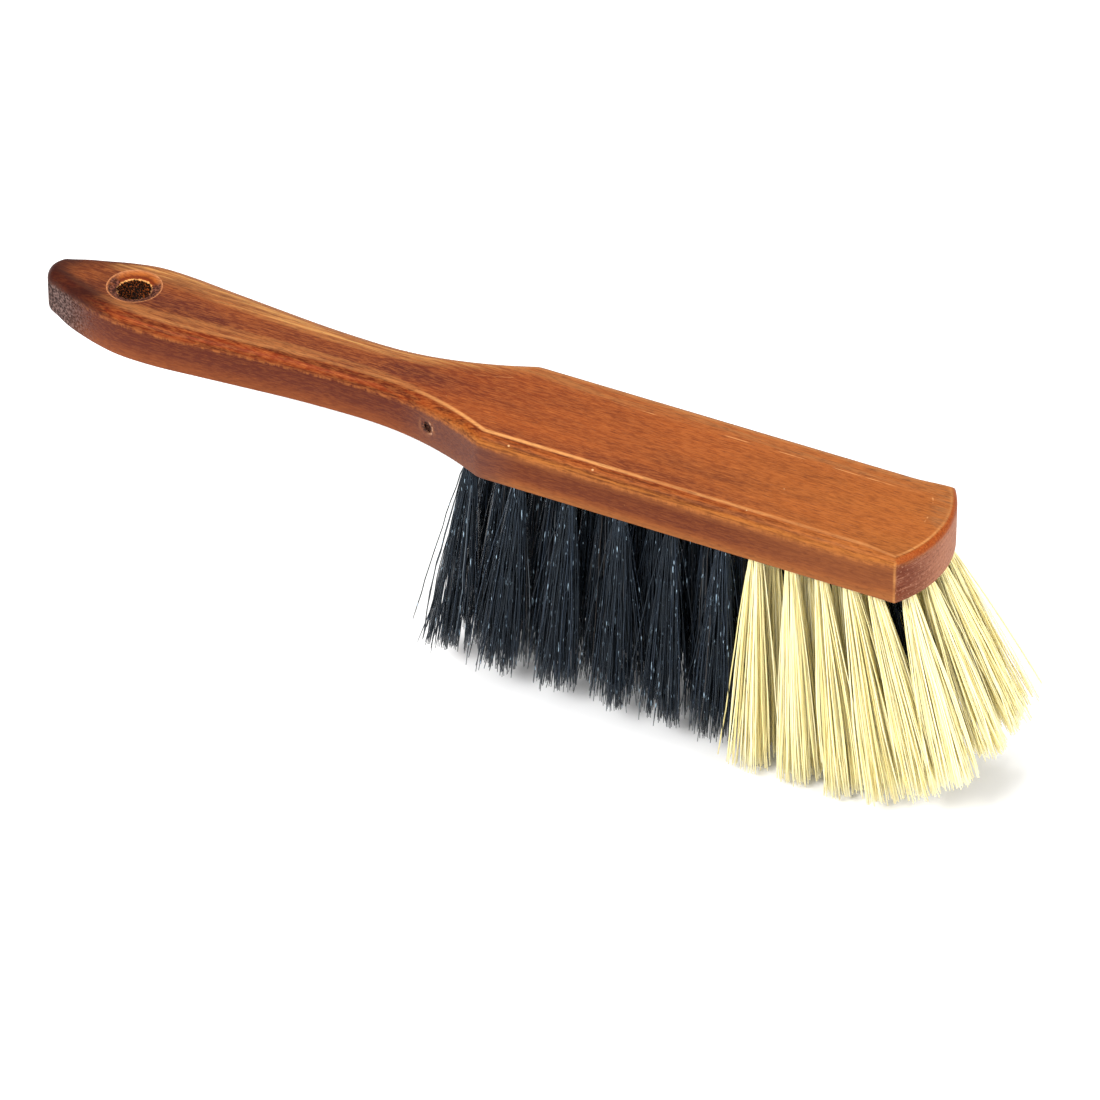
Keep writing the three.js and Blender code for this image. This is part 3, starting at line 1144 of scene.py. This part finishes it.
    def paint_grain(self):
        """Growth layers, fibres and flecks over all, calmer down the sides, and the neck's greyer side."""
        self.paint(self.late * 0.12, (74, 28, 14))
        self.paint(self.fibre.fade(0.56, 0.70, 0.30) * self.calm, (196, 116, 58))
        self.paint(self.fibre.fade(0.45, 0.31, 0.46) * self.calm, (72, 26, 12))
        neck = self.from_tip.near(NECK_FROM_TIP, 0.024, 0.008)
        self.paint(neck * self.frayed.fade(-5.4, -6.6, 0.72), (88, 54, 52))
        self.paint(self.speckle.fade(0.42, 0.62, 0.24) * self.calm, (190, 112, 60))
        self.paint(self.speckle.fade(0.46, 0.34, 0.24) * self.calm, (84, 30, 14))
        self.paint(self.fleck * 0.28, (76, 28, 14))

    def paint_pores(self):
        """Pale open pores in a few long lines near the left edge."""
        pores = self.profile.near(4.7, 0.28, 0.05) * self.left
        pores = pores * self.noise((90, 500, 9), (2, 2, 6), detail=3).fade(0.50, 0.62)
        self.paint(pores * self.from_tip.fade(0.13, 0.16, 0.75), (206, 142, 92))

    def paint_ends(self):
        """The end grain drinks more stain, and the handle's tip is left rough."""
        rows = self.noise((90, 90, 1900), (3, 3, 3), detail=3, roughness=0.7)
        to_corner = self.y.fade(0.0, -0.018, 0.42, 0.14)
        end = self.mix(self.y.fade(-0.021, 0.002), stain(100, 42, 34), stain(180, 122, 102))
        end = self.mix(rows.fade(0.52, 0.64) * to_corner, end, stain(196, 140, 120))
        end = self.mix(rows.fade(0.48, 0.36) * to_corner, end, stain(66, 26, 22))
        end = self.mix(self.ends.fade(0.56, 0.70, 0.45), end, stain(208, 156, 136))
        end = self.mix(self.ends.fade(0.46, 0.34, 0.45), end, stain(74, 32, 28))
        end = self.mix(self.late * 0.18, end, stain(64, 26, 22))
        self.cover(self.end_grain * 0.85, end)
        rough = self.mix(self.ends.fade(0.40, 0.62), stain(44, 30, 33), stain(116, 94, 95))
        rough = self.mix(self.pore.fade(0.38, 0.27, 0.95), rough, stain(16, 8, 8))
        self.cover(self.at_tip * 0.92, rough)

    def paint_scorch(self):
        """The stain has burnt in round the tip's upper edge."""
        end = (abs(self.y) * -0.45 + self.from_tip).fade(0.013, 0.002)
        rim = self.from_tip.fade(0.032, 0.016) * self.profile.fade(3.2, -0.2)
        scorch = self.larger(end, rim * (self.left * -0.45 + 1.0)) * self.frayed.fade(-6.4, -4.8)
        streak = self.noise((14, 420, 420), (7, 0, 3), detail=4, roughness=0.65)
        self.paint(scorch * streak.fade(0.32, 0.62, 0.80, 0.96), (46, 13, 12))

    def paint_hole(self):
        """The hanging hole. Hollow is 0 at its mouth, 1 where the bore starts and 2 in the bore."""
        dish = self.ramp(self.hollow, [(place, stain(*tone)) for place, tone in DISH_TONES])
        dish = self.mix(self.speckle.fade(0.42, 0.60, 0.45), dish, stain(80, 28, 14))
        self.cover(self.hollow.fade(0.0, 0.02), dish)
        centre_x = hanging_hole()[0][0]
        # Distance towards the far side of the hole, whose walls face the light.
        toward_lit_side = (self.x - centre_x) * -0.45 + self.y * 0.89 + self.jitter * 0.0006
        end_lean = self.facing_x / (self.facing_x + self.facing_y + 0.001)
        # Dark end grain at the dish's ends, with painted shade over its near half.
        cut = self.larger(end_lean.fade(0.62, 0.94), toward_lit_side.fade(0.0030, 0.0004))
        cut = cut * self.hollow.fade(0.05, 0.16) * self.hollow.fade(1.0, 0.86, 1.0, 0.70)
        self.end_grain_and_shade = cut
        end_grain_and_shade_tone = self.mix(self.ends.fade(0.44, 0.62), stain(40, 15, 15), stain(120, 72, 62))
        self.cover(cut * 0.92, end_grain_and_shade_tone)
        # The bore: orange on its far wall as painted light, dark on its near wall as painted shade, with
        # near-black patches.
        bore_shade_and_light = self.mix(toward_lit_side.fade(-0.0010, 0.0030), stain(58, 32, 30), stain(150, 74, 30))
        bore_dark_patches = self.noise((2000, 2000, 2000), detail=3).fade(0.66, 0.50)
        self.cover(self.bore, self.mix(bore_dark_patches, bore_shade_and_light, stain(20, 8, 8)))

    def paint_knot(self):
        """A dark eye, and the grain paler where it bends past."""
        away = self.node("VectorMath", "Value", {0: self.here, 1: knot_centre()}, operation="DISTANCE")
        eye = away + self.jitter * 0.0005
        halo = eye.fade(0.0042, 0.0024) * self.ragged.fade(0.40, 0.62)
        self.paint(halo * 0.25, (176, 118, 80))
        dark = eye.fade(0.0023, 0.0014, 0.95) * self.ends.fade(0.62, 0.50, 1.0, 0.15)
        self.paint(dark, (34, 15, 15))
        crescent = eye.near(0.0022, 0.0004, 0.0001)
        crescent = crescent * self.from_tip.fade(KNOT_FROM_TIP, KNOT_FROM_TIP + 0.0015)
        self.paint(crescent * self.ends.fade(0.46, 0.60, 0.6), (206, 158, 132))

    def paint_specks(self):
        """A few pale specks on the neck and the block."""
        pattern = (190, 230, 230), (3, 1, 7)
        chance = self.parts(self.cells(*pattern, output="Color"))[0]
        speck = self.cells(*pattern).fade(0.085, 0.050) * chance.fade(0.90, 0.93)
        self.cover(speck * self.from_tip.fade(0.10, 0.13, 0.75), (0.62, 0.38, 0.20))

    def add_gloss(self):
        height = self.fibre - self.fleck * 0.6 + self.at_tip * self.pore.fade(0.42, 0.16) * -16.0
        height = height + self.noise((30, 70, 70), detail=2) * 2.0
        height = height + self.larger(self.end_grain_and_shade, self.bore) * self.speckle * 7.0
        rough = self.larger(self.larger(self.bore, self.at_tip), self.end_grain)
        self.shade(
            Base_Color=self.mix(1.0, self.body, LACQUER, blend="MULTIPLY"),
            Roughness=self.fibre.fade(0.3, 0.7, 0.54, 0.42) + rough * 0.16,
            Specular_IOR_Level=0.10,
            Specular_Tint=(1.0, 0.70, 0.46),
            Normal=self.bump(height, 0.40),
            Coat_Weight=0.03,
            Coat_Roughness=0.40,
            Coat_Normal=self.bump(height, 0.16),
        )


def beech_material():
    beech = Beech("stained_beech")
    beech.paint_top()
    beech.paint_sanded_sheen()
    beech.paint_side()
    beech.paint_arris()
    beech.paint_underside()
    beech.paint_grain()
    beech.paint_pores()
    beech.paint_ends()
    beech.paint_scorch()
    beech.paint_hole()
    beech.paint_knot()
    beech.paint_specks()
    beech.add_gloss()
    return beech.material


def cream_material():
    """Straw-coloured filament in its own tone each, painted darker ochre towards the root as painted shade,
    and paler towards the tip.
    """
    tree = Tree("cream_filament")
    reach = tree.attribute("reach")
    streak = tree.noise((900, 900, 120), detail=2)
    colour = tree.ramp(tree.attribute("tone"), CREAM_TONES)
    colour = tree.mix(streak.fade(0.45, 0.72, 0.28), colour, (0.78, 0.64, 0.24))
    # Painted shade: darker ochre towards the root, inside the tuft.
    colour = tree.mix(reach.fade(0.20, 0.0, 0.25), colour, (0.70, 0.58, 0.22))
    colour = tree.mix(reach.fade(0.92, 1.0, 0.25), colour, (0.95, 0.90, 0.70))
    tree.shade(Base_Color=colour, Roughness=0.42, Specular_IOR_Level=0.28)
    return tree.material


def black_material():
    """Blue-black filament, with a few browner bristles, glossy along its length, and painted glints: pale
    dashes and a few pale bristles.
    """
    tree = Tree("black_filament")
    streak = tree.noise((900, 900, 140), (4, 2, 0), detail=2)
    painted_glint = tree.noise((2100, 2100, 190), (6, 2, 8), detail=1).fade(0.69, 0.75)
    colour = tree.ramp(tree.attribute("tone"), BLACK_TONES)
    colour = tree.mix(streak.fade(0.45, 0.75, 0.4), colour, (0.0160, 0.0270, 0.0430))
    # Pale dashes along the bristles: painted glints.
    colour = tree.mix(painted_glint * 0.9, colour, (0.40, 0.54, 0.66))
    tree.shade(Base_Color=colour, Roughness=0.20, Specular_IOR_Level=0.40, Specular_Tint=(0.70, 0.86, 1.0))
    return tree.material


def wire_material():
    """Drawn flat steel wire, with fine marks along it."""
    tree = Tree("anchor_wire")
    drawn = tree.noise((6000, 300, 6000), detail=2)
    steel = tree.mix(drawn, (0.38, 0.37, 0.35), (0.62, 0.60, 0.57))
    tree.shade(Base_Color=steel, Metallic=1.0, Roughness=0.34)
    return tree.material


def floor_material():
    tree = Tree("pale_floor")
    tree.shade(Base_Color=(0.86, 0.86, 0.86), Roughness=0.8, Specular_IOR_Level=0.1)
    # The floor glows faintly: painted light that lifts its shadows.
    tree.shade(Emission_Color=(1, 1, 1), Emission_Strength=0.05)
    return tree.material


# ---------------- stage

def make_floor():
    far = FLOOR_SIZE / 2
    corners = [(-far, -far, 0), (far, -far, 0), (far, far, 0), (-far, far, 0)]
    floor = new_piece("floor", corners, [(0, 1, 2, 3)], floor_material())


def seen_from(azimuth, elevation):
    """The direction from the brush to a viewer or a lamp. Azimuth 0 is at -Y, 90 degrees at +X."""
    level = math.cos(elevation)
    return Vector((math.sin(azimuth) * level, -math.cos(azimuth) * level, math.sin(elevation)))


def area_light(name, azimuth, elevation, distance, width, height, power, colour=(1, 1, 1)):
    """A soft box that faces the brush, its azimuth and elevation in degrees."""
    away = seen_from(math.radians(azimuth), math.radians(elevation))
    data = bpy.data.lights.new(name, "AREA")
    data.shape = "RECTANGLE"
    data.size = width
    data.size_y = height
    data.energy = power
    data.color = colour
    light = add_object(name, data)
    light.location = AIM + away * distance
    light.rotation_euler = away.to_track_quat("Z", "Y").to_euler()


def make_light():
    world = bpy.data.worlds.new("studio")
    world.use_nodes = True
    background = world.node_tree.nodes["Background"]
    background.inputs["Color"].default_value = (1, 1, 1, 1)
    background.inputs["Strength"].default_value = 0.6
    bpy.context.scene.world = world
    area_light("key", 205, 62, 1.9, 0.55, 0.4, 13)
    area_light("front", -12, 44, 2.2, 1.3, 0.7, 60)
    area_light("nose_side", 88, 34, 2.0, 1.0, 0.7, 22)


def make_camera():
    away = seen_from(VIEW_AZIMUTH, VIEW_ELEVATION)
    data = bpy.data.cameras.new("camera")
    data.lens = LENS
    data.sensor_width = SENSOR
    camera = add_object("camera", data)
    camera.location = AIM + away * VIEW_DISTANCE
    camera.rotation_euler = away.to_track_quat("Z", "Y").to_euler()
    bpy.context.scene.camera = camera


def main():
    bpy.context.scene.view_settings.view_transform = "Standard"
    make_camera()
    make_light()
    make_floor()
    tuft_nodes = sorted(name for name in frame["nodes"] if name != BOARD_NODE)
    board = make_board(beech_material(), tuft_nodes)
    mark_board(board)
    cream = cream_material()
    black = black_material()
    wire = wire_material()
    for seed, node in enumerate(tuft_nodes):
        if node.startswith("cream"):
            make_tuft(node, CREAM, cream, seed)
        else:
            make_tuft(node, BLACK, black, seed)
        make_anchor(node, wire)


main()
